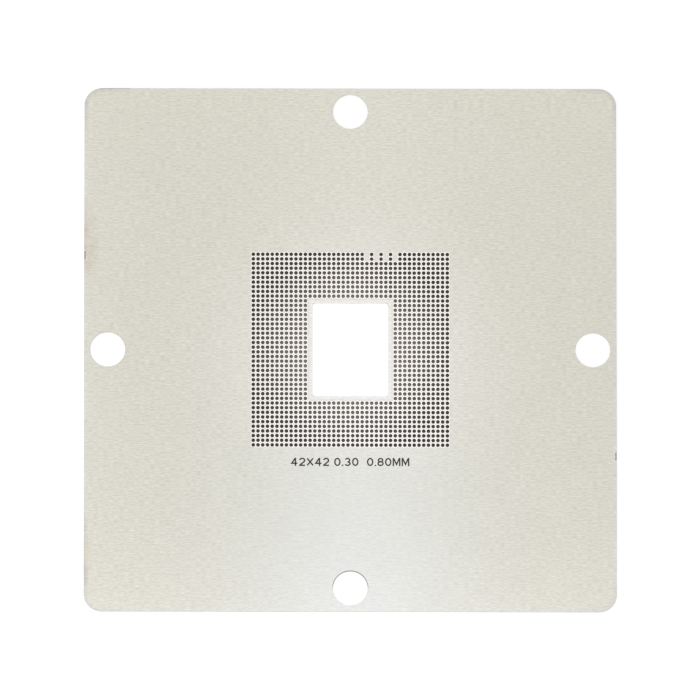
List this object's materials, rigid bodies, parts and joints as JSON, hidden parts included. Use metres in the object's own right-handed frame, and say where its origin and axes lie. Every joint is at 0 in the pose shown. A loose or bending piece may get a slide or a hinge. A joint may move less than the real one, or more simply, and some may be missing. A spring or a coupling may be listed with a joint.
{
  "type": "solder ball stencil",
  "caption": "Thin flat square steel stencil with rounded corners, four locating holes, a rectangular window and an array of small round apertures for placing solder balls.",
  "frame": {"origin": "middle of the sheet's underside", "axes": "+Z out of the marked upper face, +Y towards the edge nearest the key gaps in the array, +X to the right seen from above"},
  "size_m": [0.09, 0.09, 0.0003],
  "materials": {
    "sheet": "satin, fine rolled grain along X"
  },
  "bodies": {
    "root": {"stencil": "sheet"}
  },
  "joints": []
}
